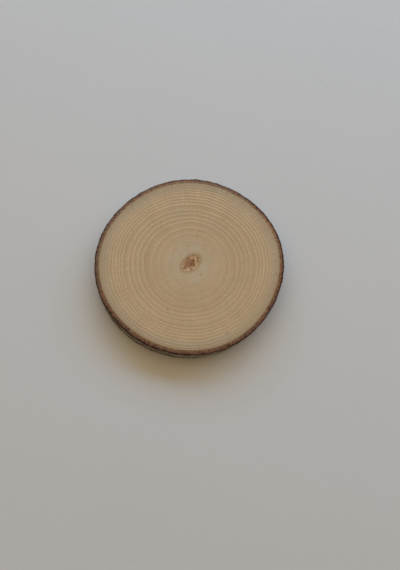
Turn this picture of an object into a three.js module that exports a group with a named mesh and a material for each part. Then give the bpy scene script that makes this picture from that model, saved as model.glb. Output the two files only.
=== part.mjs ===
// A slice sawn straight across a young tree stem, sanded on both faces, with its bark left on the rim.
// It grew as one piece, so it is one closed solid: wood, pith and bark together.
// Millimetres, +Z up. The lower face lies on Z = 0, and X and Y start at the middle of the slice's box.
import * as THREE from "three";

// The whole slice
const THICKNESS = 10;
const PITH_FROM_MIDDLE = { x: 0.88, y: 0.307 };

// The wood ends at the cambium. Seen from above its edge is a circle with slow waves in it.
const WOOD_RADIUS = 42.56;
const WOOD_WAVES = [
  { round: 1, height: 0.7, crest: 209 },
  { round: 2, height: 0.62, crest: -5 },
  { round: 3, height: 0.17, crest: 47 },
  { round: 4, height: 0.25, crest: 8 },
  { round: 5, height: 0.09, crest: 15 },
];

// The bark is a little thicker on the side of its crest.
const BARK_THICKNESS = 2.18;
const BARK_SWELL = { height: 0.06, crest: 90 };

// The stem grew at a slant and narrowed, so the lower face is smaller and lies to one side.
const LEAN = { distance: 1.93, towards: 213 };
const TAPER = 1.3;

// Each year's wood ends at this share of the way from the pith to the cambium.
const RING_ENDS = [
  0.265, 0.361, 0.431, 0.518, 0.569, 0.621, 0.67, 0.738, 0.776, 0.808, 0.846, 0.881, 0.915, 0.95, 0.978,
];
const RING_GROOVE = { depth: 0.08, width: 0.36 };

// The rings don't quite follow the outline. How far one lies out from its share is a sum of waves round
// the slice, each with a cosine and a sine height that change from the pith's share to the cambium's.
const DRIFT_SHARES = [0.12, 0.25, 0.4, 0.55, 0.7, 0.85, 1];
const DRIFT_WAVES = [
  {
    round: 1,
    cosine: [0, 0.21, 0.09, -0.12, -0.26, 0.16, 0],
    sine: [0, -0.39, -0.5, -0.51, -0.26, 0.16, 0],
  },
  {
    round: 2,
    cosine: [0, -0.79, -0.5, -0.06, 0.16, 0.1, 0],
    sine: [0, 0.1, 0, -0.1, -0.12, -0.35, 0],
  },
  {
    round: 3,
    cosine: [0, 0.15, 0.15, 0.15, 0.12, 0.1, 0],
    sine: [0, -0.11, -0.06, 0, 0, 0, 0],
  },
  {
    round: 4,
    cosine: [0, -0.09, -0.1, -0.16, -0.26, -0.04, 0],
    sine: [0, -0.03, -0.09, -0.15, -0.06, 0.04, 0],
  },
];

// The pith is an oval of softer wood that the sanding left hollow, with a low crown in its middle.
const PITH = { halfLength: 5.4, halfWidth: 3.6, turn: 40 };
const PITH_HOLLOW = { floorShare: 0.68, depth: 0.35, crownDepth: 0.22 };

// The gap that drying opens between the wood and the bark, and the bark's cut face just below the wood's
const CAMBIUM_GROOVE = { depth: 0.2, inner: 0.15, outer: 0.25 };
const BARK_FACE = { drop: 0.1, waveHeight: 0.04, wavesRound: 23 };

// The upper edge is nearly sharp from the saw, and the lower one is worn round.
const UPPER_EDGE = { inset: 0.3, drop: 0.35, start: 0.04 };
const LOWER_EDGE = { inset: 0.8, rise: 0.8 };

// The bark's relief: upright waves round the wall, each of which wanders a little sideways as it runs down
const BARK_WAVES = [
  { round: 9, height: 0.03, wander: 0.3 },
  { round: 16, height: 0.03, wander: -0.4 },
  { round: 25, height: 0.04, wander: 0.6 },
  { round: 37, height: 0.04, wander: -0.8 },
  { round: 48, height: 0.05, wander: 1.1 },
];
// Cross cracks break the waves into plates, some of them standing higher than their neighbours.
const PLATES = { round: 29, down: 2.2, height: 0.05, sway: 1.4, swaysRound: 5 };
const GOLDEN_ANGLE = Math.PI * (3 - Math.sqrt(5));

// How finely each part of the surface is divided
const PITH_COLUMNS = 36;
const INNER_RING_COLUMNS = 48;
const OUTER_RING_COLUMNS = 64;
const BARK_COLUMNS = 160;
const WALL_ROWS = 9;
const OUTER_RINGS_FROM = 0.45;

const WOOD_COLOUR = 0xa48c6d;
const WOOD_ROUGHNESS = 0.75;

const radians = THREE.MathUtils.degToRad;

// Distance from the pith to the cambium: the mean radius plus each wave at this angle
function woodRadius(angle) {
  let radius = WOOD_RADIUS;
  for (const { round, height, crest } of WOOD_WAVES) {
    radius += height * Math.cos(round * (angle - radians(crest)));
  }
  return radius;
}

// Thickness of the bark: its mean plus one wave
function barkThickness(angle) {
  return BARK_THICKNESS + BARK_SWELL.height * Math.cos(angle - radians(BARK_SWELL.crest));
}

// How far the bark stands out at a share of the way down the wall: each wave starts a golden angle after
// the last, so that no two crests line up, and the plates are one more wave, cut across.
function barkRelief(angle, down) {
  let relief = 0;
  BARK_WAVES.forEach(({ round, height, wander }, i) => {
    const sideways = wander * Math.sin(2 * Math.PI * down + i);
    relief += height * Math.cos(round * angle + i * GOLDEN_ANGLE + sideways);
  });
  const sway = PLATES.sway * Math.cos(PLATES.swaysRound * angle);
  const across = Math.cos(2 * Math.PI * PLATES.down * down + sway);
  return relief + PLATES.height * Math.cos(PLATES.round * angle) * across;
}

// Distance from the pith to the outside of the bark
function barkRadius(angle, down) {
  return woodRadius(angle) + barkThickness(angle) + barkRelief(angle, down);
}

// How far a ring of this share drifts out: each wave's heights are read off between the nearest shares.
function ringDrift(angle, share) {
  const above = DRIFT_SHARES.findIndex((knot) => knot >= share);
  const below = above - 1;
  const part = THREE.MathUtils.inverseLerp(DRIFT_SHARES[below], DRIFT_SHARES[above], share);
  let drift = 0;
  for (const { round, cosine, sine } of DRIFT_WAVES) {
    drift += THREE.MathUtils.lerp(cosine[below], cosine[above], part) * Math.cos(round * angle);
    drift += THREE.MathUtils.lerp(sine[below], sine[above], part) * Math.sin(round * angle);
  }
  return drift;
}

// Distance from the pith's middle to its rim: the polar form of an oval turned to its long axis
function pithRadius(angle) {
  const turned = angle - radians(PITH.turn);
  return 1 / Math.hypot(Math.cos(turned) / PITH.halfLength, Math.sin(turned) / PITH.halfWidth);
}

// A loop of points round the pith. Lower loops move sideways with the slant of the stem.
function loop(columns, radiusAt, heightAt) {
  const points = [];
  const leanAngle = radians(LEAN.towards);
  for (let i = 0; i < columns; i += 1) {
    const angle = (2 * Math.PI * i) / columns;
    const radius = radiusAt(angle);
    const z = heightAt(angle);
    const slant = LEAN.distance * (1 - z / THICKNESS);
    const x = PITH_FROM_MIDDLE.x + radius * Math.cos(angle) + slant * Math.cos(leanAngle);
    const y = PITH_FROM_MIDDLE.y + radius * Math.sin(angle) + slant * Math.sin(leanAngle);
    points.push([x, y, z]);
  }
  return points;
}

// Loops from the middle of the upper face out over the pith
function upperPithLoops() {
  const floor = () => THICKNESS - PITH_HOLLOW.depth;
  return [
    loop(PITH_COLUMNS, (a) => PITH_HOLLOW.floorShare * pithRadius(a), floor),
    loop(PITH_COLUMNS, pithRadius, () => THICKNESS),
  ];
}

// Three loops for each growth ring: the two lips of its groove with the bottom between them
function ringLoops() {
  const loops = [];
  for (const share of RING_ENDS) {
    const columns = share < OUTER_RINGS_FROM ? INNER_RING_COLUMNS : OUTER_RING_COLUMNS;
    const grooveProfile = [
      { out: -RING_GROOVE.width / 2, drop: 0 },
      { out: 0, drop: RING_GROOVE.depth },
      { out: RING_GROOVE.width / 2, drop: 0 },
    ];
    for (const { out, drop } of grooveProfile) {
      const radius = (a) => share * woodRadius(a) + ringDrift(a, share) + out;
      loops.push(loop(columns, radius, () => THICKNESS - drop));
    }
  }
  return loops;
}

// The cambium's groove and the bark's cut face out to the upper edge
function barkFaceLoops() {
  const rim = (a) => barkRadius(a, 0);
  const wave = (a) => BARK_FACE.waveHeight * (1 + Math.cos(BARK_FACE.wavesRound * a));
  const face = (a) => THICKNESS - BARK_FACE.drop - wave(a);
  return [
    loop(BARK_COLUMNS, (a) => woodRadius(a) - CAMBIUM_GROOVE.inner, () => THICKNESS),
    loop(BARK_COLUMNS, woodRadius, () => THICKNESS - CAMBIUM_GROOVE.depth),
    loop(BARK_COLUMNS, (a) => woodRadius(a) + CAMBIUM_GROOVE.outer, face),
    loop(BARK_COLUMNS, (a) => rim(a) - UPPER_EDGE.inset, face),
    loop(BARK_COLUMNS, (a) => rim(a) - UPPER_EDGE.start, () => THICKNESS - UPPER_EDGE.drop),
  ];
}

// The wall of bark, then the worn lower edge and the rim of the flat foot
function wallLoops() {
  const loops = [];
  const top = THICKNESS - UPPER_EDGE.drop * 2;
  for (let row = 0; row < WALL_ROWS; row += 1) {
    const z = THREE.MathUtils.lerp(top, LOWER_EDGE.rise, row / (WALL_ROWS - 1));
    const down = 1 - z / THICKNESS;
    loops.push(loop(BARK_COLUMNS, (a) => barkRadius(a, down) - TAPER * down, () => z));
  }
  const foot = (a) => barkRadius(a, 1) - TAPER;
  const turn = Math.PI / 4;
  const worn = (a) => foot(a) - LOWER_EDGE.inset * (1 - Math.cos(turn));
  loops.push(loop(BARK_COLUMNS, worn, () => LOWER_EDGE.rise * (1 - Math.sin(turn))));
  loops.push(loop(BARK_COLUMNS, (a) => foot(a) - LOWER_EDGE.inset, () => 0));
  return loops;
}

// The pith shows on the lower face too, as the same hollow.
function lowerPithLoops() {
  return [
    loop(PITH_COLUMNS, pithRadius, () => 0),
    loop(PITH_COLUMNS, (a) => PITH_HOLLOW.floorShare * pithRadius(a), () => PITH_HOLLOW.depth),
  ];
}

// Joins two neighbouring loops, which may have different numbers of points, with triangles that face
// outwards: it walks round both and always steps along the one that is behind.
function stitch(first, second, indices) {
  let a = 0;
  let b = 0;
  while (a < first.count || b < second.count) {
    const pointA = first.start + (a % first.count);
    const pointB = second.start + (b % second.count);
    const aIsBehind = (a + 1) * second.count <= (b + 1) * first.count;
    if (aIsBehind && a < first.count) {
      indices.push(pointA, pointB, first.start + ((a + 1) % first.count));
      a += 1;
    } else {
      indices.push(pointA, pointB, second.start + ((b + 1) % second.count));
      b += 1;
    }
  }
}

// Closes a loop onto one point. A fan on the lower face turns the other way, to face down.
function fan(point, ring, faceDown, indices) {
  for (let i = 0; i < ring.count; i += 1) {
    const here = ring.start + i;
    const next = ring.start + ((i + 1) % ring.count);
    if (faceDown) {
      indices.push(point, next, here);
    } else {
      indices.push(point, here, next);
    }
  }
}

// The closed skin: a point in the middle of the upper pith, the loops from there out, down the wall and in
// again under the slice, and a point in the middle of the lower pith
function sliceGeometry() {
  const loops = [
    ...upperPithLoops(),
    ...ringLoops(),
    ...barkFaceLoops(),
    ...wallLoops(),
    ...lowerPithLoops(),
  ];
  const crown = loop(1, () => 0, () => THICKNESS - PITH_HOLLOW.crownDepth);
  const sole = loop(1, () => 0, () => PITH_HOLLOW.crownDepth);
  const positions = [...crown, ...sole];
  const indices = [];
  const placed = loops.map((points) => {
    const start = positions.length;
    positions.push(...points);
    return { start, count: points.length };
  });
  fan(0, placed[0], false, indices);
  for (let i = 1; i < placed.length; i += 1) {
    stitch(placed[i - 1], placed[i], indices);
  }
  fan(1, placed[placed.length - 1], true, indices);

  const geometry = new THREE.BufferGeometry();
  geometry.setAttribute("position", new THREE.Float32BufferAttribute(positions.flat(), 3));
  geometry.setIndex(indices);
  geometry.computeVertexNormals();
  return geometry;
}

const woodMaterial = new THREE.MeshStandardMaterial({
  color: WOOD_COLOUR,
  roughness: WOOD_ROUGHNESS,
  metalness: 0,
});

const slice = new THREE.Mesh(sliceGeometry(), woodMaterial);
slice.name = "wood_slice";

const model = new THREE.Group();
model.add(slice);

export default model;
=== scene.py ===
import math

import bpy
import numpy as np
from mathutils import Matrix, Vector


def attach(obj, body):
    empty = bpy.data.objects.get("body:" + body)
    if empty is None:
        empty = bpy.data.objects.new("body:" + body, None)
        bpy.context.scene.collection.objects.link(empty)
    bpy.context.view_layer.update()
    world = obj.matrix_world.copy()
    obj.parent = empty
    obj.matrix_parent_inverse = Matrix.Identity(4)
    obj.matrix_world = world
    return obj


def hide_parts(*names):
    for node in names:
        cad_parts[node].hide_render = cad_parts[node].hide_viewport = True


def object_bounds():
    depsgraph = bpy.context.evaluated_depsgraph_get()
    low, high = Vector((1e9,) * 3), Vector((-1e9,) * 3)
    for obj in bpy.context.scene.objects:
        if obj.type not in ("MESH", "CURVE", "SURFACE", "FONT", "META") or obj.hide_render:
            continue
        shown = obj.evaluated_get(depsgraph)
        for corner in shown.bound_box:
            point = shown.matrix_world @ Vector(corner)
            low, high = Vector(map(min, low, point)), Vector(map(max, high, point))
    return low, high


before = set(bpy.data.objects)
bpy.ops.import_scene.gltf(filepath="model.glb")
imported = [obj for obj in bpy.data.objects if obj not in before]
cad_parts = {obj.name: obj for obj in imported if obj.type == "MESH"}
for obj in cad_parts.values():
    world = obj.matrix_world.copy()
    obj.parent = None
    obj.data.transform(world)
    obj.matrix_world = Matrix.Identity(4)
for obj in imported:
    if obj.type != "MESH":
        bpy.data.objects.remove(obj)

# A thin slice of a young tree stem: sanded wood with its growth rings and pith, and the bark left round it.
# Shapes are worked out in millimetres about the pith and put into the meshes in metres.

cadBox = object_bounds()
mm = 0.001
fullTurn = 2 * math.pi
goldenAngle = math.pi * (3 - math.sqrt(5))

# The stem that the slice was sawn from. A wave is (how many round the slice, height, degrees of the crest).
stem = {
    "thickness": 10.0,
    "pithPlace": (0.88, 0.307),
    "woodRadius": 42.56,
    "woodWaves": ((1, 0.7, 209), (2, 0.62, -5), (3, 0.17, 47), (4, 0.25, 8), (5, 0.09, 15)),
    "barkThickness": 2.18,
    "barkSwell": (0.06, 90),
    "lean": 1.93,             # how far the lower face lies to one side
    "leanTowards": 213,
    "taper": 1.3,             # how much less the lower face's radius is
}


# Shape of the stem

def woodRadiusAt(angle):
    # the mean radius plus each wave's height times the cosine of its number times the angle from its crest
    waves = stem["woodWaves"]
    return stem["woodRadius"] + sum(h * np.cos(n * (angle - math.radians(crest))) for n, h, crest in waves)


def barkThicknessAt(angle):
    # the mean thickness plus one wave
    height, crest = stem["barkSwell"]
    return stem["barkThickness"] + height * np.cos(angle - math.radians(crest))


def pithRadiusAt(angle):
    # the polar form of an oval turned to its long axis
    halfLength, halfWidth = wood["pithHalf"]
    turned = angle - math.radians(wood["pithTurn"])
    return 1 / np.hypot(np.cos(turned) / halfLength, np.sin(turned) / halfWidth)


def fromPith(angle, radius, height):
    # the point at a radius and an angle round the pith, with its height, in millimetres
    return np.stack([radius * np.cos(angle), radius * np.sin(angle), height + 0 * radius], axis=-1)


def inFrame(points):
    # moves points from the pith to their place in the frame; lower ones also go sideways with the lean
    leanAngle = math.radians(stem["leanTowards"])
    slant = stem["lean"] * (1 - points[..., 2] / stem["thickness"])
    moved = points.copy()
    moved[..., 0] += stem["pithPlace"][0] + slant * math.cos(leanAngle)
    moved[..., 1] += stem["pithPlace"][1] + slant * math.sin(leanAngle)
    return moved * mm


def easeBetween(low, high, value):
    # 0 below low, 1 above high, and a smooth s-curve between; low may be above high
    t = np.clip((value - low) / (high - low), 0, 1)
    return t * t * (3 - 2 * t)


def softNoise(rows, columns, down, across, seed):
    # white noise whose frequencies are cut off by a bell curve, so that its features are about so many rows
    # and columns long; it wraps both ways and has a deviation of 1
    spectrum = np.fft.rfft2(np.random.default_rng(seed).standard_normal((rows, columns)))
    rowFrequency = np.fft.fftfreq(rows)[:, None] * down
    columnFrequency = np.fft.rfftfreq(columns)[None] * across
    field = np.fft.irfft2(spectrum * np.exp(-2 * (rowFrequency**2 + columnFrequency**2)), s=(rows, columns))
    return (field - field.mean()) / field.std()


# Meshes from grids

def gridQuads(rows, columns, wrapRows):
    # each quad joins a row to the next and a column to the next, and the columns wrap round the stem
    row = np.arange(rows if wrapRows else rows - 1)[:, None]
    column = np.arange(columns)[None]
    nextRow, nextColumn = (row + 1) % rows, (column + 1) % columns
    corners = [row * columns + column, nextRow * columns + column,
               nextRow * columns + nextColumn, row * columns + nextColumn]
    return np.stack(corners, axis=-1).reshape(-1, 4)


def meshFrom(name, points, faceSets, uvSets, values):
    # one mesh from points and arrays of faces with the same number of corners each; the uv of every face
    # corner comes in the same order, and values holds an array of numbers or vectors for each attribute
    mesh = bpy.data.meshes.new(name)
    mesh.vertices.add(len(points))
    mesh.vertices.foreach_set("co", points.astype(np.float32).ravel())
    corners = np.concatenate([faces.ravel() for faces in faceSets])
    sizes = np.concatenate([np.full(len(faces), faces.shape[1]) for faces in faceSets])
    mesh.loops.add(len(corners))
    mesh.loops.foreach_set("vertex_index", corners.astype(np.int32))
    mesh.polygons.add(len(sizes))
    mesh.polygons.foreach_set("loop_start", (np.cumsum(sizes) - sizes).astype(np.int32))
    mesh.update(calc_edges=True)
    mesh.polygons.foreach_set("use_smooth", np.ones(len(sizes), dtype=bool))
    uvs = np.concatenate([uv.reshape(-1, 2) for uv in uvSets])
    mesh.uv_layers.new(name="OFBake").uv.foreach_set("vector", uvs.astype(np.float32).ravel())
    for label, numbers in values.items():
        kind, field = ("FLOAT_VECTOR", "vector") if numbers.ndim == 2 else ("FLOAT", "value")
        data = mesh.attributes.new(label, kind, "POINT").data
        data.foreach_set(field, numbers.astype(np.float32).ravel())
    mesh.validate()
    return mesh


def addObject(name, data):
    thing = bpy.data.objects.new(name, data)
    bpy.context.scene.collection.objects.link(thing)
    return thing


def addPiece(name, mesh, material):
    # a piece that rides on the root and stands in for the solid
    piece = addObject(name, mesh)
    mesh.materials.append(material)
    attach(piece, "root")
    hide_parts("wood_slice")
    print(name, "has", sum(len(p.vertices) - 2 for p in mesh.polygons), "triangles")


# The wood: both sanded faces, their pith hollows and the side that the bark hides

wood = {
    "columns": 400,
    # each year's wood ends at this share of the way out, and drifts off it in waves round the slice; a
    # wave is (how many round, cosine heights, sine heights) at the shares in driftShares
    "ringEnds": (0, 0.265, 0.361, 0.431, 0.518, 0.569, 0.621, 0.67, 0.738,
                 0.776, 0.808, 0.846, 0.881, 0.915, 0.95, 0.978, 1),
    "driftShares": (0.12, 0.25, 0.4, 0.55, 0.7, 0.85, 1),
    "driftWaves": (
        (1, (0, 0.21, 0.09, -0.12, -0.26, 0.16, 0), (0, -0.39, -0.5, -0.51, -0.26, 0.16, 0)),
        (2, (0, -0.79, -0.5, -0.06, 0.16, 0.1, 0), (0, 0.1, 0, -0.1, -0.12, -0.35, 0)),
        (3, (0, 0.15, 0.15, 0.15, 0.12, 0.1, 0), (0, -0.11, -0.06, 0, 0, 0, 0)),
        (4, (0, -0.09, -0.1, -0.16, -0.26, -0.04, 0), (0, -0.03, -0.09, -0.15, -0.06, 0.04, 0)),
    ),
    # short waves: (how many round, radians that its phase moves on from the pith to the cambium)
    "wobbleWaves": ((9, 9), (14, 13), (23, 17), (34, 21)),
    "ringWobble": 0.05,
    "wobbleFade": (0.99, 0.9),
    # rows in each year: its pale early wood ends at yearPale, its dark late wood starts at yearDark
    "yearStart": 0.07,
    "yearPale": 0.3,
    "yearMiddle": 0.62,
    "yearDark": 0.9,
    "paleWidth": 0.7,
    "paleMost": 0.42,         # of the year's width
    "paleStart": 0.2,         # of the pale wood's width
    "darkWidth": 0.35,
    "darkMost": 0.3,          # of the year's width
    "ringSink": (0.0, 1.0, 0.65, 0.25, 0.0),      # how far the sanding has sunk each of those rows
    "ringDepth": 0.04,
    "ringFade": (0.2, 0.55),  # the rings' relief fades in between these shares
    "pithHalf": (5.4, 3.6),
    "pithTurn": 44,
    "pithRows": 26,
    "pithDepth": 0.24,
    "pithCrown": 0.16,
    "pithFloor": 0.62,
    "pithBump": 0.03,
    # fine bumps: (height, two waves that are multiplied), each wave as radians per mm along x and y, phase
    "pithWaves": ((1.0, (4.1, 2.3, 0), (-1.9, 3.2, 1)), (0.6, (8.3, 0, -3), (0, 7.7, 2))),
    "heartRows": 7,           # between the pith and the end of the first year
    "edgeDrop": 0.2,
    "sideRows": (0.86, 0.5, 0.14),    # heights of the hidden side's rows, of the thickness
    # a drying crack in the pith, as points from its middle
    "crack": ((1.25, 1.9), (1.4, 0.9), (1.3, -0.1), (1.6, -1.2)),
    "crackDepth": 0.12,
    "crackWidth": 0.35,
    "crackFade": (1.15, 0.9),
    "crackReach": 2.0,        # places farther from the crack than this count as this far
    # brown blots in the pith: distances from its middle and radius; then its dark heart, the same
    "pithBlots": (
        (0.95, 4.1, 0.5), (3.3, 2.4, 0.55), (3.4, 0.95, 0.4), (-2.5, -1.4, 0.5), (-2.9, -2.5, 0.6),
        (0.6, 1.4, 0.5), (-1.6, 2.6, 0.5), (0.4, -3.0, 0.5), (0.3, -0.6, 0.6),
    ),
    "pithHeart": (-0.6, 0.0, 2.6),
    # a pale scratch: degrees round the pith, distances from it where it starts and ends, half its width
    "scratch": (303, 29.0, 38.6, 0.16),
    # small dark marks on the face: degrees round the pith, distance from it, radius
    "specks": (
        (78, 13.8, 0.2), (170, 21.2, 0.22), (170.5, 31.5, 0.2), (296, 38.4, 0.26), (352.5, 41.0, 0.24),
        (244.5, 25.4, 0.26), (328, 24.4, 0.2), (99, 8.8, 0.18), (75, 17.0, 0.18), (310, 7.2, 0.24),
    ),
    "upperUv": (0.68, 0.363),     # how large a face is in the map, and where its middle is
    "lowerUv": (0.4, 0.785),
    "uvMargin": 5,
    "uvSpread": 0.01,             # how much wider the map grows for each mm down the side
}


def ringDriftAt(angle, share):
    # the drift waves, each with its heights read off at this share, plus the short waves, whose phases move
    # on with the share and which fade out at the cambium
    drift = 0
    for number, cosines, sines in wood["driftWaves"]:
        drift = drift + np.interp(share, wood["driftShares"], cosines) * np.cos(number * angle)
        drift = drift + np.interp(share, wood["driftShares"], sines) * np.sin(number * angle)
    for i, (number, turn) in enumerate(wood["wobbleWaves"]):
        wave = np.cos(number * angle + i * goldenAngle + turn * share)
        drift = drift + wood["ringWobble"] * wave * easeBetween(*wood["wobbleFade"], share)
    return drift


def crackGapAt(x, y):
    # the distance to the crack: the least of the distances to its straight stretches
    gap = np.full(np.shape(x), wood["crackReach"])
    for (ax, ay), (bx, by) in zip(wood["crack"], wood["crack"][1:]):
        dx, dy = bx - ax, by - ay
        along = np.clip(((x - ax) * dx + (y - ay) * dy) / (dx**2 + dy**2), 0, 1)
        gap = np.minimum(gap, np.hypot(x - ax - along * dx, y - ay - along * dy))
    return gap


def pithSinkAt(points, share):
    # how far the pith lies below the face: a hollow with a steep edge, a floor and a low crown, fine bumps,
    # and a crack that is a bell curve of its gap; share is 0 in the pith's middle and 1 at its rim
    x, y = points[..., 0], points[..., 1]
    crown = 1 - (1 - wood["pithCrown"] / wood["pithDepth"]) * easeBetween(wood["pithFloor"], 0, share)
    bumps = 0
    for height, *waves in wood["pithWaves"]:
        first, second = (np.cos(alongX * x + alongY * y + phase) for alongX, alongY, phase in waves)
        bumps = bumps + height * first * second
    hollow = easeBetween(1, wood["pithFloor"], share)
    hollow = hollow * (wood["pithDepth"] * crown + wood["pithBump"] * (1 + bumps))
    crack = wood["crackDepth"] * np.exp(-(crackGapAt(x, y) / wood["crackWidth"])**2)
    return hollow + crack * easeBetween(*wood["crackFade"], share)


def faceRows(down):
    # rows of the upper face (down 0) or the lower one (down 1) from the middle out: distance from the pith,
    # depth below the face and year, each an array of rows by columns
    angle = np.arange(wood["columns"]) * fullTurn / wood["columns"]
    edge = woodRadiusAt(angle) - stem["taper"] * down
    ends = np.array(wood["ringEnds"])
    firstRing = edge * ends[1] + ringDriftAt(angle, ends[1])

    pithShare = ((np.arange(wood["pithRows"]) + 1) / wood["pithRows"])[:, None]
    pithRadius = pithShare * pithRadiusAt(angle)
    pithSink = pithSinkAt(fromPith(angle, pithRadius, 0), pithShare)
    heartShare = ((np.arange(wood["heartRows"]) + 1) / (wood["heartRows"] + 1))[:, None]
    heartRadius = pithRadiusAt(angle) + heartShare * (firstRing - pithRadiusAt(angle))

    # the pale and the dark wood of a year are about as wide in narrow rings as in wide ones
    start, width = ends[1:-1] * stem["woodRadius"], np.diff(ends[1:]) * stem["woodRadius"]
    pale = np.minimum(wood["paleWidth"], wood["paleMost"] * width)
    dark = width - np.minimum(wood["darkWidth"], wood["darkMost"] * width)
    rows = [0 * width, wood["paleStart"] * pale, pale, (pale + dark) / 2, dark]
    rows = np.stack(rows, axis=-1) + start[:, None]
    share = np.append(rows.ravel(), stem["woodRadius"])[:, None] / stem["woodRadius"]
    parts = np.array([0, wood["yearStart"], wood["yearPale"], wood["yearMiddle"], wood["yearDark"]])
    year = np.append((np.arange(1, len(ends) - 1)[:, None] + parts).ravel(), len(ends) - 1)[:, None]
    ringRadius = edge * share + ringDriftAt(angle, share)
    sink = wood["ringDepth"] * np.tile(wood["ringSink"], len(ends) - 2)
    sink = sink * easeBetween(*wood["ringFade"], share[:-1, 0])
    sink = np.append(sink, wood["edgeDrop"])[:, None] + 0 * ringRadius

    radius = np.concatenate([pithRadius, heartRadius, ringRadius])
    depth = np.concatenate([pithSink, 0 * heartRadius, sink])
    years = np.concatenate([pithRadius / firstRing, heartRadius / firstRing, year + 0 * ringRadius])
    return angle, radius, depth, years


def woodUv(points, upper):
    # each face lies flat in the map, the upper one larger; the hidden side is a thin band round it
    size, middle = wood["upperUv"] if upper else wood["lowerUv"]
    span = 2 * stem["woodRadius"] + wood["uvMargin"]
    height = points[..., 2]
    spread = 1 + wood["uvSpread"] * ((stem["thickness"] - height) if upper else height)
    x = points[..., 0] * (1 if upper else -1)
    return middle + size * np.stack([x * spread, points[..., 1] * spread], axis=-1) / span


def buildWood(material):
    # rows from the upper pith out, down the side and back in to the lower pith, and a fan of triangles to
    # close each end
    columns, thickness = wood["columns"], stem["thickness"]
    angle, topRadius, topDepth, topYears = faceRows(0)
    soleRadius, soleDepth, soleYears = (values[::-1] for values in faceRows(1)[1:])
    sideHeight = np.array(wood["sideRows"])[:, None] * thickness
    sideRadius = woodRadiusAt(angle) - stem["taper"] * (1 - sideHeight / thickness)
    sideYears = len(wood["ringEnds"]) - 1 + 0 * sideRadius

    radius = np.concatenate([topRadius, sideRadius, soleRadius])
    height = np.concatenate([thickness - topDepth, sideHeight + 0 * sideRadius, soleDepth])
    rim = woodRadiusAt(angle) - stem["taper"] * (1 - height / thickness)
    years = np.concatenate([topYears, sideYears, soleYears])
    grid = fromPith(angle, radius, height)
    middle = wood["pithCrown"] + wood["pithBump"]
    poles = np.array([[0, 0, thickness - middle], [0, 0, middle]])
    points = np.concatenate([grid.reshape(-1, 3), poles])
    topPole, solePole = len(points) - 2, len(points) - 1

    quads = gridQuads(len(grid), columns, False)
    first = np.arange(columns)
    last = first + (len(grid) - 1) * columns
    topFan = np.stack([np.full(columns, topPole), first, np.roll(first, -1)], axis=-1)
    soleFan = np.stack([np.full(columns, solePole), np.roll(last, -1), last], axis=-1)
    upperRows = len(topRadius) + 1
    upperQuads, lowerQuads = quads[:upperRows * columns], quads[upperRows * columns:]
    uvSets = [woodUv(points[upperQuads], True), woodUv(points[lowerQuads], False),
              woodUv(points[topFan], True), woodUv(points[soleFan], False)]
    values = {
        "year": np.append(years.ravel(), [0, 0]),
        "share": np.append((radius / rim).ravel(), [0, 0]),
        "stemPlace": points,
        "crackGap": crackGapAt(points[:, 0], points[:, 1]),
    }
    mesh = meshFrom("wood", inFrame(points), [upperQuads, lowerQuads, topFan, soleFan], uvSets, values)
    addPiece("sanded_wood", mesh, material)


# The bark: a ring with a cut face above and below, a rough wall, and an inner side sunk into the wood

bark = {
    "columns": 1200,
    "faceRows": 13,
    "rimRows": 6,
    "wallRows": 34,
    "footRows": 6,
    "soleRows": 9,
    "innerRows": 4,
    "faceDrop": 0.1,          # the bark's cut face lies this far below the wood's
    "faceRelief": (0.45, 0.86),   # it takes on the wall's relief between these shares across the bark
    "sunk": 0.5,              # how far the piece reaches into the wood
    "sunkDrop": 0.35,
    "sunkFrom": 0.1,          # it dips below the cut face from this share inwards
    "innerSpan": (0.1, 0.9),  # heights of the inner side's first and last row, of the thickness
    "rimInset": 0.18,
    "rimDrop": 0.32,
    "footInset": 0.8,
    "footRise": 0.8,
    "footStart": 0.7,         # of a row
    "soleGap": 0.04,
    "soleReach": 0.97,        # of the way from the sunk edge to the foot
    "soleRelief": 0.4,
    "soleFade": (0.2, 0.6),
    "clearance": 0.01,
    # the slow relief that the solid has too: (how many round, height, wander)
    "waves": ((9, 0.03, 0.3), (16, 0.03, -0.4), (25, 0.04, 0.6), (37, 0.04, -0.8), (48, 0.05, 1.1)),
    "plateRound": 29,
    "plateDown": 2.2,
    "plateHeight": 0.05,
    "plateSway": 1.4,
    "plateSwaysRound": 5,
    "furrowWidth": 0.3,
    "furrowDepth": 0.15,
    "flakeStep": 0.045,
    "grainDepth": 0.025,
    "poreHeight": 0.05,
    "chipDepth": 0.22,        # small chips that the saw broke out of the upper edge
    "chipHeights": (0.75, 0.97),
    "cutRoughness": 0.03,
    # the relief's noises: rows and columns that a feature is long, what is added to the seed, and in some the
    # values between which the feature grows
    "seed": 11,
    "furrows": (20, 7, 0),
    "furrowed": (30, 60, 1, -0.8, 0.9),
    "flakes": (12, 16, 2, -0.1, 0.25),
    "grain": (2.5, 2.5, 3),
    "pores": (3, 10, 4, 1.7, 2.3),
    "cut": (3, 2, 5),
    "chips": (8, 5, 6, 0.3, 2.2),
    "uvStrips": 4,
    "uvEdge": 0.006,
    "uvSqueeze": 0.05,
}


def slowRelief(angle, down):
    # upright waves that wander sideways as they run down, and plates: one more wave cut across
    relief = 0
    for i, (number, height, wander) in enumerate(bark["waves"]):
        swing = wander * np.sin(fullTurn * down + i)
        relief = relief + height * np.cos(number * angle + i * goldenAngle + swing)
    sway = bark["plateSway"] * np.cos(bark["plateSwaysRound"] * angle)
    across = np.cos(fullTurn * bark["plateDown"] * down + sway)
    return relief + bark["plateHeight"] * np.cos(bark["plateRound"] * angle) * across


def barkNoise(rows, columns, name):
    # a soft noise, eased between two of its values where it has them
    down, across, offset, *span = bark[name]
    field = softNoise(rows, columns, down, across, bark["seed"] + offset)
    return easeBetween(*span, field) if span else field


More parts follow.
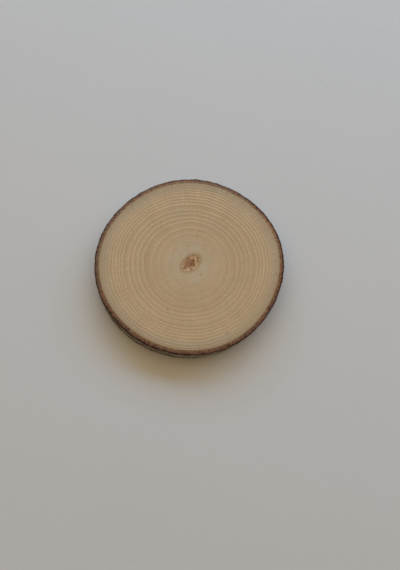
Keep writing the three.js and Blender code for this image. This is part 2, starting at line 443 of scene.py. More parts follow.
def fineRelief(rows, columns, height):
    # how far the surface lies in from the slow relief: furrows are a bell curve about the zero line of a tall
    # noise, flakes are a step in another, grain is a fine noise, pores are small level lumps, and chips are
    # the peaks of a noise that fades out below the upper edge
    names = ("furrows", "furrowed", "flakes", "grain", "pores", "chips")
    tall, furrowed, flakes, grain, pores, chips = (barkNoise(rows, columns, name) for name in names)
    furrow = np.exp(-(tall / bark["furrowWidth"])**2) * furrowed
    inward = bark["furrowDepth"] * furrow + bark["flakeStep"] * flakes + bark["grainDepth"] * grain
    chips = chips * easeBetween(*bark["chipHeights"], height / stem["thickness"])
    return inward + bark["chipDepth"] * chips - bark["poreHeight"] * pores, furrow


def barkProfile():
    # the section of the ring as rows: share across the bark, inset from there, height, how much of the
    # relief a row takes, and how much it belongs to a sawn face
    thickness, mean = stem["thickness"], stem["barkThickness"]
    sunk = -bark["sunk"] / mean
    top = thickness - bark["faceDrop"]

    def part(count, across, inset, height, relief, cut):
        return np.array([np.broadcast_to(v, count) for v in (across, inset, height, relief, cut)])

    t = np.linspace(0, 1, bark["faceRows"])
    across = sunk + t * (1 - sunk - bark["rimInset"] / mean)
    face = part(len(t), across, 0, top - bark["sunkDrop"] * easeBetween(bark["sunkFrom"], sunk, across),
                easeBetween(*bark["faceRelief"], across), 1)
    t = (np.arange(bark["rimRows"]) + 0.5) / bark["rimRows"] * math.pi / 2
    rim = part(len(t), 1, -bark["rimInset"] * (1 - np.sin(t)), top - bark["rimDrop"] * (1 - np.cos(t)),
               1, np.cos(t))
    t = np.linspace(top - bark["rimDrop"], bark["footRise"], bark["wallRows"])
    wall = part(len(t), 1, 0, t, 1, 0)
    t = (np.arange(bark["footRows"]) + bark["footStart"]) / bark["footRows"] * math.pi / 2
    height = bark["soleGap"] + (bark["footRise"] - bark["soleGap"]) * (1 - np.sin(t))
    foot = part(len(t), 1, -bark["footInset"] * (1 - np.cos(t)), height,
                1 - bark["soleRelief"] * t, 1 - np.cos(t))
    t = np.linspace(1, 0, bark["soleRows"])
    across = sunk + t * (1 - sunk - bark["footInset"] / mean) * bark["soleReach"]
    height = bark["soleGap"] + bark["sunkDrop"] * easeBetween(bark["sunkFrom"], sunk, across)
    sole = part(len(t), across, 0, height, bark["soleRelief"] * easeBetween(*bark["soleFade"], across), 1)
    t = np.linspace(*bark["innerSpan"], bark["innerRows"])
    inner = part(len(t), sunk, 0, t * thickness, 0, 0)
    return np.concatenate([face, rim, wall, foot, sole, inner], axis=1)[..., None]


def barkUv(out, height, columns):
    # the ring is cut into four strips that lie above each other, and the section runs up each by its
    # length, with the hidden inner side squeezed
    strips, edge = bark["uvStrips"], bark["uvEdge"]
    step = np.hypot(np.diff(out, append=out[0]), np.diff(height, append=height[0]))
    step[-bark["innerRows"] - 1:] *= bark["uvSqueeze"]
    up = np.append(0, np.cumsum(step)) / step.sum()
    perStrip = columns // strips
    column = np.arange(columns)
    strip = column // perStrip
    left = (column - strip * perStrip) / perStrip
    right = left + 1 / perStrip
    low, high = up[:-1, None] + 0 * left, up[1:, None] + 0 * left
    u = np.stack([left + 0 * low, left + 0 * low, right + 0 * low, right + 0 * low], axis=-1)
    v = np.stack([low, high, high, low], axis=-1)
    u = edge + u * (1 - 2 * edge)
    v = (strip[None, :, None] + edge + v * (1 - 2 * edge)) / strips
    return np.stack([u, v], axis=-1)


def buildBark(material):
    # the section is swept round the stem: the wood's radius, plus the share across times the bark's
    # thickness, the inset and the relief; the sawn faces get a roughness that only goes inwards
    columns = bark["columns"]
    angle = np.arange(columns) * fullTurn / columns
    across, inset, height, takesRelief, isCut = barkProfile()
    rows = len(across)
    inward, furrow = fineRelief(rows, columns, height)
    down = 1 - height / stem["thickness"]
    relief = takesRelief * (slowRelief(angle, down) - inward)
    radius = woodRadiusAt(angle) - stem["taper"] * down + across * barkThicknessAt(angle) + inset + relief
    sawn = bark["cutRoughness"] * isCut * np.clip(1 + barkNoise(rows, columns, "cut"), 0, None)
    points = fromPith(angle, radius, height + np.sign(stem["thickness"] / 2 - height) * sawn)
    values = {
        "across": (across + 0 * radius).ravel(),
        "cut": (isCut + 0 * radius).ravel(),
        "furrow": (furrow * takesRelief).ravel(),
        "stemPlace": points.reshape(-1, 3),
    }
    # the few grains that would stand out of the solid's box are levelled
    margin = bark["clearance"] * mm
    low, high = np.array(cadBox)
    placed = np.clip(inFrame(points.reshape(-1, 3)), low + margin, high - margin)
    quads = gridQuads(rows, columns, True)
    uv = barkUv((across * stem["barkThickness"] + inset).ravel(), height.ravel(), columns)
    mesh = meshFrom("bark", placed, [quads], [uv], values)
    addPiece("bark_rim", mesh, material)


# Node helpers

def setInputs(node, inputs):
    # links each input, by name or number, to a socket or sets it to a value
    for name, value in inputs.items():
        if isinstance(value, bpy.types.NodeSocket):
            node.id_data.links.new(value, node.inputs[name])
        else:
            node.inputs[name].default_value = value


def addNode(kind, inputs, tree=None, **settings):
    # a node in the tree given, or else in the one that the sockets among its inputs belong to
    sockets = [value for value in inputs.values() if isinstance(value, bpy.types.NodeSocket)]
    node = (tree or sockets[0].id_data).nodes.new(kind)
    for name, value in settings.items():
        setattr(node, name, value)
    setInputs(node, inputs)
    return node


def calc(operation, *values):
    # one step of arithmetic on numbers
    return addNode("ShaderNodeMath", dict(enumerate(values)), operation=operation).outputs[0]


def product(value, *others):
    # the numbers multiplied together
    for other in others:
        value = calc("MULTIPLY", value, other)
    return value


def weighted(*terms):
    # the sum of values times their amounts
    total = 0.0
    for value, amount in terms:
        total = calc("MULTIPLY_ADD", value, amount, total)
    return total


def vectorCalc(operation, *values):
    # one step of arithmetic on vectors; a length, a distance and a dot product come out as numbers
    node = addNode("ShaderNodeVectorMath", dict(enumerate(values)), operation=operation)
    return node.outputs["Value" if operation in ("LENGTH", "DISTANCE", "DOT_PRODUCT") else "Vector"]


def shifted(place, offset):
    # a place moved along, so that two noises read at it differ
    return vectorCalc("ADD", place, offset)


def distanceTo(place, x, y):
    # how far a place is from a point of the face
    return vectorCalc("DISTANCE", place, (x, y, 0))


def inAxes(place, degrees, halfSize=(1, 1)):
    # a place of the face as seen from axes that are turned, and so long that the half sizes come to 1
    inputs = {"Vector": place, "Rotation": (0, 0, math.radians(degrees)), "Scale": (*halfSize, 1)}
    return addNode("ShaderNodeMapping", inputs, vector_type="TEXTURE").outputs[0]


def facingTo(place, degrees):
    # the cosine of the angle round the stem between a place and a direction
    direction = (math.cos(math.radians(degrees)), math.sin(math.radians(degrees)), 0)
    outward = vectorCalc("NORMALIZE", vectorCalc("MULTIPLY", place, (1, 1, 0)))
    return vectorCalc("DOT_PRODUCT", outward, direction)


def remap(value, fromLow, fromHigh, toLow=0.0, toHigh=1.0, smooth=False):
    # a straight line or a smooth s-curve from one range to another, level beyond its ends
    inputs = {"Value": value, "From Min": fromLow, "From Max": fromHigh, "To Min": toLow, "To Max": toHigh}
    kind = "SMOOTHSTEP" if smooth else "LINEAR"
    return addNode("ShaderNodeMapRange", inputs, interpolation_type=kind).outputs["Result"]


def ramp(factor, stops):
    # stops are (position, red, green, blue), or (position, grey)
    node = addNode("ShaderNodeValToRGB", {"Fac": factor})
    elements = node.color_ramp.elements
    while len(elements) < len(stops):
        elements.new(1)
    for element, (position, *colour) in zip(elements, stops):
        element.position = position
        element.color = (*(colour * 3 if len(colour) == 1 else colour), 1)
    return node.outputs["Color"]


def mix(factor, first, second, blend="MIX"):
    # the first colour at factor 0 and the second, or their blend, at factor 1
    first, second = ((*c, 1) if isinstance(c, tuple) else c for c in (first, second))
    inputs = {0: factor, 6: first, 7: second}
    return addNode("ShaderNodeMix", inputs, data_type="RGBA", blend_type=blend).outputs[2]


def tinted(colour, tint):
    # a colour multiplied by another
    return mix(1.0, colour, tint, "MULTIPLY")


def shaded(colour, value):
    # a colour multiplied by 1 plus a value
    level = calc("ADD", 1.0, value)
    grey = addNode("ShaderNodeCombineXYZ", {"X": level, "Y": level, "Z": level}).outputs[0]
    return tinted(colour, grey)


def attribute(tree, name, output="Fac"):
    # a number, or with the output Vector a vector, that each point of the mesh carries
    node = addNode("ShaderNodeAttribute", {}, tree, attribute_name=name, attribute_type="GEOMETRY")
    return node.outputs[output]


def noise(vector, scale, detail=2.0, rough=0.5):
    # runs from -1 to 1 and is level beyond them
    inputs = {"Vector": vector, "Scale": scale, "Detail": detail, "Roughness": rough}
    node = addNode("ShaderNodeTexNoise", inputs, noise_dimensions="3D")
    return remap(node.outputs["Fac"], 0.25, 0.75, -1.0, 1.0)


def startGroup(name, numbers, result):
    # a node group that turns a place and some numbers, given with their defaults, into one number
    group = bpy.data.node_groups.new(name, "ShaderNodeTree")
    group.interface.new_socket(name="Place", in_out="INPUT", socket_type="NodeSocketVector")
    for label, default in numbers.items():
        socket = group.interface.new_socket(name=label, in_out="INPUT", socket_type="NodeSocketFloat")
        socket.default_value = default
    group.interface.new_socket(name=result, in_out="OUTPUT", socket_type="NodeSocketFloat")
    return group, group.nodes.new("NodeGroupInput").outputs, group.nodes.new("NodeGroupOutput")


def buildRayGroup():
    # fine lines that run out from the pith, as rays in wood and fibres in bark: a noise whose place is the
    # direction from the pith, so it is stretched along the radius
    group, given, result = startGroup("radial rays", {"Fineness": 90.0, "Length": 6.0}, "Ray")
    flat = vectorCalc("MULTIPLY", given["Place"], (1, 1, 0))
    outward = vectorCalc("NORMALIZE", flat)
    direction = addNode("ShaderNodeVectorMath", {0: outward, "Scale": given["Fineness"]}, operation="SCALE")
    along = calc("DIVIDE", vectorCalc("LENGTH", flat), given["Length"])
    height = addNode("ShaderNodeSeparateXYZ", {0: given["Place"]}).outputs["Z"]
    level = calc("ADD", along, product(height, 0.15))
    offset = addNode("ShaderNodeCombineXYZ", {"Z": level}).outputs[0]
    ray = noise(vectorCalc("ADD", direction.outputs["Vector"], offset), 1.0, 3.0, 0.6)
    setInputs(result, {"Ray": ray})
    return group


def buildPoreGroup():
    # small dark dots of mixed size, thinly spread: 1 in a dot's middle and 0 outside it
    group, given, result = startGroup("pores", {"Spacing": 0.5, "Size": 0.22}, "Pore")
    spaced = calc("DIVIDE", 1.0, given["Spacing"])
    cells = addNode("ShaderNodeTexVoronoi", {"Vector": given["Place"], "Scale": spaced}, feature="F1")
    red = addNode("ShaderNodeSeparateColor", {0: cells.outputs["Color"]}).outputs[0]
    reach = calc("ADD", product(given["Size"], red), 0.02)
    pore = calc("SUBTRACT", 1.0, calc("DIVIDE", cells.outputs["Distance"], reach))
    setInputs(result, {"Pore": calc("MAXIMUM", pore, 0.0)})
    return group


def placeGroup(group, *inputs):
    return addNode("ShaderNodeGroup", dict(enumerate(inputs)), node_tree=group).outputs[0]


def startMaterial(name):
    material = bpy.data.materials.new(name)
    material.use_nodes = True
    tree = material.node_tree
    return material, tree, tree.nodes["Principled BSDF"]


def reliefNormal(height):
    # the normal that a height in millimetres gives
    return addNode("ShaderNodeBump", {"Height": height, "Distance": mm, "Strength": 0.8}).outputs[0]


# Finish of the wood

woodFinish = {
    # colours of the sanded face by share of the way out from the pith
    "faceColours": (
        (0.0, 0.61, 0.46, 0.285), (0.2, 0.628, 0.465, 0.278), (0.33, 0.628, 0.452, 0.268),
        (0.45, 0.615, 0.436, 0.253), (0.6, 0.622, 0.446, 0.26), (0.86, 0.63, 0.451, 0.264),
        (0.915, 0.59, 0.436, 0.264), (0.965, 0.53, 0.396, 0.244), (1.0, 0.48, 0.335, 0.19),
    ),
    # how strongly each ring shows, by share
    "ringStrength": (
        (0.0, 0.05), (0.16, 0.11), (0.265, 0.15), (0.361, 0.42), (0.431, 0.68), (0.518, 0.82),
        (0.569, 1.02), (0.62, 0.7), (0.67, 1.08), (0.738, 0.9), (0.776, 1.05), (0.808, 0.8),
        (0.846, 0.95), (0.881, 1.0), (0.915, 0.42), (0.95, 0.5), (1.0, 0.55),
    ),
    "ringsTowards": 115,      # the rings stand out most on this side
    "ringSides": (0.78, 1.24),
    # from dark (0) to pale (1) through one year
    "yearTone": (
        (0.0, 0.5), (0.06, 0.98), (0.18, 0.9), (0.32, 0.58),
        (0.62, 0.44), (0.85, 0.25), (0.93, 0.03), (1.0, 0.08),
    ),
    "yearPale": (1.12, 1.145, 1.185),
    "yearDark": (0.86, 0.83, 0.78),
    # the same through the first year alone, and how much it shades the wood
    "firstTone": (
        (0.0, 0.5), (0.55, 0.5), (0.68, 0.72), (0.8, 0.5), (0.9, 0.3), (0.96, 0.22), (1.0, 0.5),
    ),
    "firstShade": 0.12,
    "rayTowards": 90,         # the rays show best on this side
    "raySides": (0.6, 1.2),
    "outerGrain": (0.55, 1.4),    # how strong rays and grain are near the pith and near the bark
    "warmPatch": (1.02, 0.985, 0.96),
    "coolPatch": (0.985, 1.01, 1.03),
    "coolTowards": 240,       # the wood is a little paler and cooler on this side
    "coolSide": (1.04, 1.045, 1.055),
    "warmSide": (0.99, 0.97, 0.94),
    "edgeGrey": (0.45, 0.38, 0.255),
    "speckledTowards": 190,   # the youngest wood is greyest on this side
    "speck": (0.26, 0.17, 0.1),
    "scratch": (0.68, 0.51, 0.31),
    "halo": (0.63, 0.51, 0.345),
    "haloReach": (7.5, 12.5),     # the halo fades between these distances from the pith's middle
    "haloDot": (0.46, 0.385, 0.235),
    "pithOutline": (0.44, 0.28, 0.145),
    "pithBand": (0.63, 0.385, 0.2),
    "pithPale": (0.74, 0.5, 0.29),
    "pithBead": (0.48, 0.27, 0.125),
    "pithCore": (0.36, 0.165, 0.07),
    "pithBlot": (0.27, 0.135, 0.06),
    "crack": (0.19, 0.07, 0.023),
}


def drawRings(colour, flat, share, year):
    # a year is pale where it starts and darkens slowly to a thin line at its end; the first one ends softly
    tone = ramp(calc("FRACT", year), woodFinish["yearTone"])
    washed = remap(noise(flat, 0.08, 2), -1.0, 1.0, 0.6, 1.3)
    sided = remap(facingTo(flat, woodFinish["ringsTowards"]), -1, 1, *woodFinish["ringSides"])
    strength = product(washed, ramp(share, woodFinish["ringStrength"]), sided)
    yearTint = mix(tone, woodFinish["yearDark"], woodFinish["yearPale"])
    colour = mix(strength, colour, tinted(colour, yearTint))
    firstYear = product(ramp(year, woodFinish["firstTone"]), remap(washed, 0.7, 1.1, 0.4, 1.2))
    amount = woodFinish["firstShade"]
    return shaded(colour, calc("MULTIPLY_ADD", firstYear, amount, -amount / 2))


def drawGrain(colour, place, flat, share, rays, pores):
    # fine lines along the rings, rays across them, pores and slow patches; what the relief needs comes back
    level = addNode("ShaderNodeCombineXYZ", {"Z": product(share, 130.0)}).outputs[0]
    direction = vectorCalc("MULTIPLY", vectorCalc("NORMALIZE", flat), (2.5, 2.5, 0))
    alongRings = vectorCalc("ADD", direction, level)
    fineRings = noise(alongRings, 1.0, 2, 0.6)
    slowRings = noise(vectorCalc("MULTIPLY", alongRings, (0.3, 0.3, 0.06)), 1.0, 2, 0.5)

    outer = remap(share, 0.3, 0.95, *woodFinish["outerGrain"])
    sided = remap(facingTo(flat, woodFinish["rayTowards"]), -1, 1, *woodFinish["raySides"])
    strength = product(outer, sided)
    fineRay = product(placeGroup(rays, place, 105.0, 5.0), strength)
    coarseRay = product(placeGroup(rays, place, 42.0, 9.0), strength)

    patches = noise(flat, 0.13, 3, 0.55)
    mottling = noise(flat, 1.2, 3, 0.65)
    grain = product(noise(shifted(flat, (8, 3, 0)), 2.4, 2, 0.6), outer)
    pore = placeGroup(pores, flat, 0.55, 0.22)
    shade = weighted((fineRings, 0.03), (slowRings, 0.03), (fineRay, 0.08), (coarseRay, 0.04),
                     (patches, 0.03), (mottling, 0.1), (grain, 0.13), (pore, -0.18))
    return shaded(colour, shade), mottling, fineRings, fineRay, pore


def drawHues(colour, flat, share):
    # slow patches of a warmer and a cooler cream, one side cooler than the other, and a grey speckle in the
    # youngest wood under the bark
    warmth = remap(noise(shifted(flat, (31, 7, 0)), 0.1, 3), -1, 1)
    patch = mix(warmth, woodFinish["coolPatch"], woodFinish["warmPatch"])
    cool = product(facingTo(flat, woodFinish["coolTowards"]), share)
    side = mix(remap(cool, -1, 1), woodFinish["warmSide"], woodFinish["coolSide"])
    colour = tinted(tinted(colour, patch), side)
    grey = product(
        remap(noise(flat, 2.0, 4, 0.75), -0.1, 0.5),
        remap(share, 0.87, 0.965, 0, 1, True),
        remap(facingTo(flat, woodFinish["speckledTowards"]), -1, -0.2, 0.35, 1),
        0.6,
    )
    return mix(grey, colour, woodFinish["edgeGrey"])


def drawMarks(colour, flat):
    # small dark marks, and one pale scratch along a direction from the pith, which fades at its ends
    marks = 0.0
    for degrees, away, size in wood["specks"]:
        x, y = away * math.cos(math.radians(degrees)), away * math.sin(math.radians(degrees))
        mark = remap(distanceTo(flat, x, y), size, size * 2.6, 1.0, 0.0, True)
        marks = calc("MAXIMUM", marks, mark)
    colour = mix(product(marks, 0.5), colour, woodFinish["speck"])

    degrees, start, end, halfWidth = wood["scratch"]
    turned = addNode("ShaderNodeSeparateXYZ", {0: inAxes(flat, degrees)}).outputs
    line = remap(calc("ABSOLUTE", turned["Y"]), halfWidth, 2.5 * halfWidth, 1, 0, True)
    for edge, beyond in ((start, start - 2), (end, end + 1)):
        line = product(line, remap(turned["X"], edge, beyond, 1, 0, True))
    return mix(product(line, 0.4), colour, woodFinish["scratch"])


def findPith(flat):
    # the face's places moved about by a noise, so that what is drawn at them crumbles, and the pith's share
    # there: the length of the place in an oval whose rim is at 1
    inputs = {"Vector": flat, "Scale": 0.9, "Detail": 3.0, "Roughness": 0.65}
    warp = addNode("ShaderNodeTexNoise", inputs).outputs["Color"]
    warp = vectorCalc("SUBTRACT", warp, (0.5, 0.5, 0.5))
    crumbled = vectorCalc("ADD", flat, vectorCalc("MULTIPLY", warp, (2.2, 2.2, 0)))
    return crumbled, vectorCalc("LENGTH", inAxes(crumbled, wood["pithTurn"], wood["pithHalf"]))


def drawHalo(colour, flat, crumbled, pithShare, grit, pores):
    # a patchy halo of pale young wood round the pith, with small grey dots
    near = remap(vectorCalc("LENGTH", crumbled), *woodFinish["haloReach"], 1, 0, True)
    around = product(remap(pithShare, 1.12, 1.55, 0, 1, True), near)
    cloudy = noise(shifted(flat, (4, 9, 0)), 0.22, 5, 0.72)
    halo = product(around, remap(cloudy, -0.3, 0.4, 0, 1))
    colour = mix(halo, colour, woodFinish["halo"])
    dots = placeGroup(pores, shifted(flat, (3, 1, 0)), 0.8, 0.6)
    colour = mix(product(dots, around, 0.8), colour, woodFinish["haloDot"])
    return shaded(colour, product(grit, around, 0.08))


def drawPith(colour, flat, crumbled, pithShare, mottling, grit, crackGap):
    # pale beads in a brown band, a dark heart, blots and a crack, with a soft brown outline
    beads = addNode("ShaderNodeTexVoronoi", {"Vector": crumbled, "Scale": 1.0}, feature="SMOOTH_F1")
    band = remap(beads.outputs["Distance"], 0.25, 0.6, 0, 1, True)
    inside = mix(band, woodFinish["pithPale"], woodFinish["pithBand"])
    inside = mix(remap(mottling, 0, 0.8, 0, 0.8), inside, woodFinish["pithBead"])

    heartX, heartY, heartSize = wood["pithHeart"]
    heart = distanceTo(crumbled, heartX, heartY)
    heart = remap(heart, 0.35 * heartSize, 1.45 * heartSize, 0.98, 0, True)
    heart = product(heart, remap(grit, -0.6, 0.3, 0.6, 1))
    inside = mix(heart, inside, woodFinish["pithCore"])
    for x, y, size in wood["pithBlots"]:
        blot = remap(distanceTo(crumbled, x, y), 0.6 * size, 1.5 * size, 0.95, 0, True)
        inside = mix(blot, inside, woodFinish["pithBlot"])
    gap = calc("MULTIPLY_ADD", noise(flat, 1.3, 3, 0.65), 0.3, crackGap)
    crack = remap(gap, 0.05, 0.62, 0.85, 0, True)
    inside = mix(crack, inside, woodFinish["crack"])
    inside = shaded(inside, product(grit, 0.35))

    isPith = remap(pithShare, 0.88, 1.04, 1, 0, True)
    colour = mix(isPith, colour, inside)
    outline = product(remap(pithShare, 0.82, 0.96, 0, 1, True), remap(pithShare, 1.0, 1.3, 1, 0, True), 0.62)
    return mix(outline, colour, woodFinish["pithOutline"]), isPith


def buildWoodMaterial(rays, pores):
    # the face's colour by share, with rings, grain, hues, marks, halo and pith drawn on it in turn
    material, tree, shader = startMaterial("sanded wood")
    place = attribute(tree, "stemPlace", "Vector")
    flat = vectorCalc("MULTIPLY", place, (1, 1, 0))
    share, year, crackGap = (attribute(tree, name) for name in ("share", "year", "crackGap"))
    colour = ramp(share, woodFinish["faceColours"])
    colour = drawRings(colour, flat, share, year)
    colour, mottling, fineRings, fineRay, pore = drawGrain(colour, place, flat, share, rays, pores)
    colour = drawHues(colour, flat, share)
    colour = drawMarks(colour, flat)
    crumbled, pithShare = findPith(flat)
    grit = noise(shifted(flat, (2, 6, 0)), 1.5, 3, 0.7)
    colour = drawHalo(colour, flat, crumbled, pithShare, grit, pores)
    colour, isPith = drawPith(colour, flat, crumbled, pithShare, mottling, grit, crackGap)

    # heights in millimetres: sanding marks, rays, rings, pores and the crumbly pith
    sanding = addNode("ShaderNodeMapping", {"Vector": flat, "Rotation": (0, 0, 0.4), "Scale": (0.12, 4, 1)})
    crumbs = product(noise(flat, 3.0, 4, 0.7), isPith)
    height = weighted((noise(sanding.outputs[0], 1.0, 2), 0.004), (fineRay, 0.006), (fineRings, 0.004),
                      (pore, -0.02), (crumbs, 0.05))
    roughness = weighted((mottling, 0.03), (fineRings, 0.03), (isPith, 0.25))
    setInputs(shader, {
        "Base Color": colour,
        "Normal": reliefNormal(height),
        "Roughness": calc("ADD", roughness, 0.6),
        "Specular IOR Level": 0.35,
    })
    return material


# Finish of the bark

barkFinish = {
    # colours of the bark's sawn face from the cambium out
    "sawnColours": (
        (0.0, 0.42, 0.27, 0.15), (0.06, 0.27, 0.155, 0.088), (0.16, 0.225, 0.118, 0.062),
        (0.42, 0.2, 0.1, 0.055), (0.62, 0.175, 0.08, 0.042), (0.8, 0.12, 0.05, 0.022),
        (0.9, 0.04, 0.014, 0.004), (1.0, 0.03, 0.013, 0.006),
    ),
    "paintedLightTowards": 92,   # painted light: the sawn bark is painted pale and grey on this side, towards the lamps
    "paintedLight": (1.46, 1.78, 2.1),
    "layeredTowards": 15,     # its inner and outer layers differ most on this side
    "innerLayers": (1.22, 1.2, 1.08),
    "outerLayers": (0.86, 0.73, 0.6),
    "redder": (1.12, 0.95, 0.84),
    "greener": (0.9, 1.04, 1.14),
    # colours of the bark's outside from the foot up; the dark lowest stops are painted shade at the foot
    "outsideColours": (
        (0.0, 0.075, 0.055, 0.036), (0.12, 0.08, 0.06, 0.04), (0.27, 0.122, 0.094, 0.067),
        (0.42, 0.22, 0.174, 0.128), (0.72, 0.225, 0.172, 0.122), (0.87, 0.175, 0.118, 0.076),
        (0.96, 0.045, 0.024, 0.013),
    ),
    "pale": (0.46, 0.42, 0.35),
    "paleTowards": 285,       # pale patches are thickest on this side
    "paintedFootShade": (0.045, 0.03, 0.018),
    "footShadeTowards": 237,      # painted shade: the foot is darkened on this side
    "furrow": (0.07, 0.05, 0.036),
}


def drawSawnBark(place, across, rays):
    # layers from the cambium out, crossed by radial fibres, with soft clumps and flecks
    layer = calc("MULTIPLY_ADD", noise(place, 0.8, 3, 0.6), 0.06, across)
    sawn = ramp(layer, barkFinish["sawnColours"])
    # painted light: the sawn face is made paler and greyer, with weaker flecks, on the side facing the lamps
    paintedLight = remap(facingTo(place, barkFinish["paintedLightTowards"]), -0.33, 1.0)
    sawn = mix(paintedLight, sawn, tinted(sawn, barkFinish["paintedLight"]))
    hue = remap(noise(shifted(place, (5, 1, 8)), 0.35, 3, 0.6), -0.8, 0.8)
    sawn = tinted(sawn, mix(hue, barkFinish["greener"], barkFinish["redder"]))
    outward = remap(layer, 0.42, 0.66, 0, 1, True)
    layers = mix(outward, barkFinish["innerLayers"], barkFinish["outerLayers"])
    layered = remap(facingTo(place, barkFinish["layeredTowards"]), 0.7, 1.0, 0, 1, True)
    sawn = mix(layered, sawn, tinted(sawn, layers))

    fibre = placeGroup(rays, place, 56.0, 1.8)
    clumps = noise(place, 1.1, 4, 0.75)
    flecks = noise(shifted(place, (2, 8, 4)), 0.55, 3, 0.7)
    shade = weighted((fibre, 0.62), (clumps, 0.52), (flecks, 0.22))
    shade = product(shade, remap(paintedLight, 0, 1, 1.6, 0.95), remap(layer, 0.1, 0.75, 0.7, 1.3, True))
    shade = calc("MINIMUM", calc("MAXIMUM", shade, -0.7), 0.32)
    return shaded(sawn, calc("ADD", shade, 0.02)), fibre


def drawOuterBark(place, furrow, pores):
    # smooth olive cork with painted shade at the foot, dark under the upper edge, pale patches, furrows and
    # pores
    level = addNode("ShaderNodeSeparateXYZ", {0: place}).outputs["Z"]
    level = calc("MULTIPLY_ADD", noise(place, 0.5, 2), 0.35, level)
    # the ramp's dark lowest stops are painted shade at the foot
    outside = ramp(calc("DIVIDE", level, stem["thickness"]), barkFinish["outsideColours"])

    stretched = vectorCalc("MULTIPLY", place, (1, 1, 0.5))
    middle = product(remap(level, 1.5, 4.0, 0.3, 1, True), remap(level, 7.5, 9.2, 1, 0, True))
    palest = calc("MULTIPLY_ADD", facingTo(place, barkFinish["paleTowards"]), 0.75,
                  noise(stretched, 0.3, 4, 0.65))
    pale = product(remap(palest, -0.1, 1.1, 0, 0.9), middle)
    outside = mix(pale, outside, barkFinish["pale"])

    # painted shade: the foot is darkened on the side away from the lamps, where the slice's shadow falls
    footShadeMask = remap(facingTo(place, barkFinish["footShadeTowards"]), 0.8, 0.97, 0, 0.55, True)
    footShadeMask = product(footShadeMask, remap(level, 1.2, 3.4, 1, 0, True))
    outside = mix(footShadeMask, outside, barkFinish["paintedFootShade"])
    blotch = noise(shifted(place, (9, 3, 5)), 1.0, 4, 0.7)
    outside = shaded(outside, product(blotch, 0.2))

    pore = placeGroup(pores, stretched, 1.4, 0.3)
    dark = calc("MAXIMUM", product(remap(furrow, 0.2, 0.95), 0.5), product(pore, 0.4))
    return mix(dark, outside, barkFinish["furrow"])


def buildBarkMaterial(rays, pores):
    # the sawn colours where the bark is cut, the outside's elsewhere, with a ragged line between them
    material, tree, shader = startMaterial("bark")
    place = attribute(tree, "stemPlace", "Vector")
    across, cut, furrow = (attribute(tree, name) for name in ("across", "cut", "furrow"))
    sawn, fibre = drawSawnBark(place, across, rays)
    outside = drawOuterBark(place, furrow, pores)
    ragged = calc("MULTIPLY_ADD", noise(place, 1.6, 3), 0.1, cut)
    onCut = remap(ragged, 0.3, 0.8, 0, 1, True)
    grain = noise(vectorCalc("MULTIPLY", place, (3.5, 3.5, 1.6)), 1.0, 5, 0.7)
    setInputs(shader, {
        "Base Color": mix(onCut, outside, sawn),
        "Normal": reliefNormal(weighted((grain, 0.045), (fibre, 0.02))),
        "Roughness": remap(grain, -1, 1, 0.72, 0.92),
        "Specular IOR Level": 0.3,
    })
    return material


# Floor, lights and camera

# The camera looks down on the slice from in front. The aim is a point of the upper face, from the pith.
camera = {
    "azimuth": -90,
    "elevation": 74,
    "distance": 300.0,
    "aim": (4.41, -10.97),
    "lens": 39.92,
    "sensor": 36.0,
    "clip": (0.01, 10),       # metres
}

studio = {
    "floorWidth": 3.0,
    "floorGap": 0.00005,      # the floor lies this far below the slice
    "floorColour": (0.75, 0.745, 0.735),
    "floorRoughness": 0.75,
    "fillColour": (1.0, 0.643, 0.357),
    "fillStrength": 0.14,
    "backdrop": (0.62, 0.61, 0.6),
}

# Soft lamps: degrees round the slice and above the floor that they shine from, metres away, width and height,
# watts and colour.
lamps = {
    "window_light": (76, 32, 1.4, (4.85, 0.7), 27.2, (0.362, 0.63, 1.0)),
    "top_light": (84, 68, 1.0, (2.56, 2.56), 8.51, (1.0, 0.819, 0.487)),
}


def buildFloor():
    # a square with a faint cloudiness, large and fine
    half = studio["floorWidth"] / 2
    corners = np.array([(-1, -1), (1, -1), (1, 1), (-1, 1)]) * half
    mesh = bpy.data.meshes.new("floor")
    mesh.from_pydata([(x, y, -studio["floorGap"]) for x, y in corners.tolist()], [], [(0, 1, 2, 3)])
    floor = addObject("floor", mesh)
    material, tree, shader = startMaterial("pale floor")
    place = addNode("ShaderNodeTexCoord", {}, tree).outputs["Object"]
    clouds = weighted((noise(place, 12.0, 3), 0.01), (noise(place, 350.0, 4, 0.7), 0.014))
    setInputs(shader, {
        "Base Color": shaded(studio["floorColour"], clouds),
        "Roughness": studio["floorRoughness"],
        "Specular IOR Level": 0.2,
    })
    mesh.materials.append(material)


def towards(azimuth, elevation):
    # the unit vector at so many degrees round the slice and above the floor
    a, e = math.radians(azimuth), math.radians(elevation)
    return Vector((math.cos(a) * math.cos(e), math.sin(a) * math.cos(e), math.sin(e)))


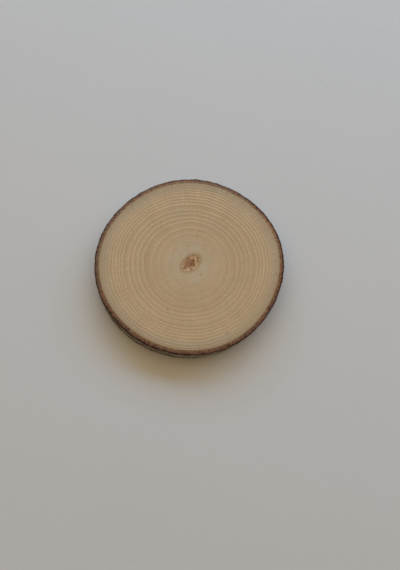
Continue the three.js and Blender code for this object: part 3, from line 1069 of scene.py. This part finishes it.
def addAimed(name, data, place, back):
    # an object whose own Z points back, so that a lamp or a camera faces the other way
    aimed = addObject(name, data)
    aimed.location = place
    aimed.rotation_mode = "QUATERNION"
    aimed.rotation_quaternion = back.to_track_quat("Z", "Y")
    return aimed


def buildStudio():
    # lamps that shine at the slice, and a weak light from everywhere that the camera sees as a plain backdrop
    scene = bpy.context.scene
    scene.view_settings.view_transform = "Standard"
    for name, (azimuth, elevation, distance, size, power, colour) in lamps.items():
        direction = towards(azimuth, elevation)
        lamp = bpy.data.lights.new(name, "AREA")
        lamp.shape = "ELLIPSE"
        lamp.size, lamp.size_y = size
        lamp.energy = power
        lamp.color = colour
        addAimed(name, lamp, direction * distance, direction)

    world = bpy.data.worlds.new("room")
    world.use_nodes = True
    tree = world.node_tree
    fill = tree.nodes["Background"]
    setInputs(fill, {"Color": (*studio["fillColour"], 1), "Strength": studio["fillStrength"]})
    backdrop = addNode("ShaderNodeBackground", {"Color": (*studio["backdrop"], 1)}, tree)
    seen = addNode("ShaderNodeLightPath", {}, tree).outputs["Is Camera Ray"]
    both = addNode("ShaderNodeMixShader", {0: seen, 1: fill.outputs[0], 2: backdrop.outputs[0]})
    setInputs(tree.nodes["World Output"], {"Surface": both.outputs[0]})
    scene.world = world


def buildCamera():
    # the eye is back from the aim along the view
    lens = bpy.data.cameras.new("camera")
    lens.lens, lens.sensor_width = camera["lens"], camera["sensor"]
    lens.clip_start, lens.clip_end = camera["clip"]
    back = towards(camera["azimuth"], camera["elevation"])
    aim = np.append(np.add(stem["pithPlace"], camera["aim"]), stem["thickness"])
    eye = Vector(aim * mm) + back * camera["distance"] * mm
    bpy.context.scene.camera = addAimed("camera", lens, eye, back)


print("camera, lights and floor")
buildCamera()
buildStudio()
buildFloor()
print("finishes")
rayGroup, poreGroup = buildRayGroup(), buildPoreGroup()
woodMaterial = buildWoodMaterial(rayGroup, poreGroup)
barkMaterial = buildBarkMaterial(rayGroup, poreGroup)
print("sanded wood")
buildWood(woodMaterial)
print("bark")
buildBark(barkMaterial)
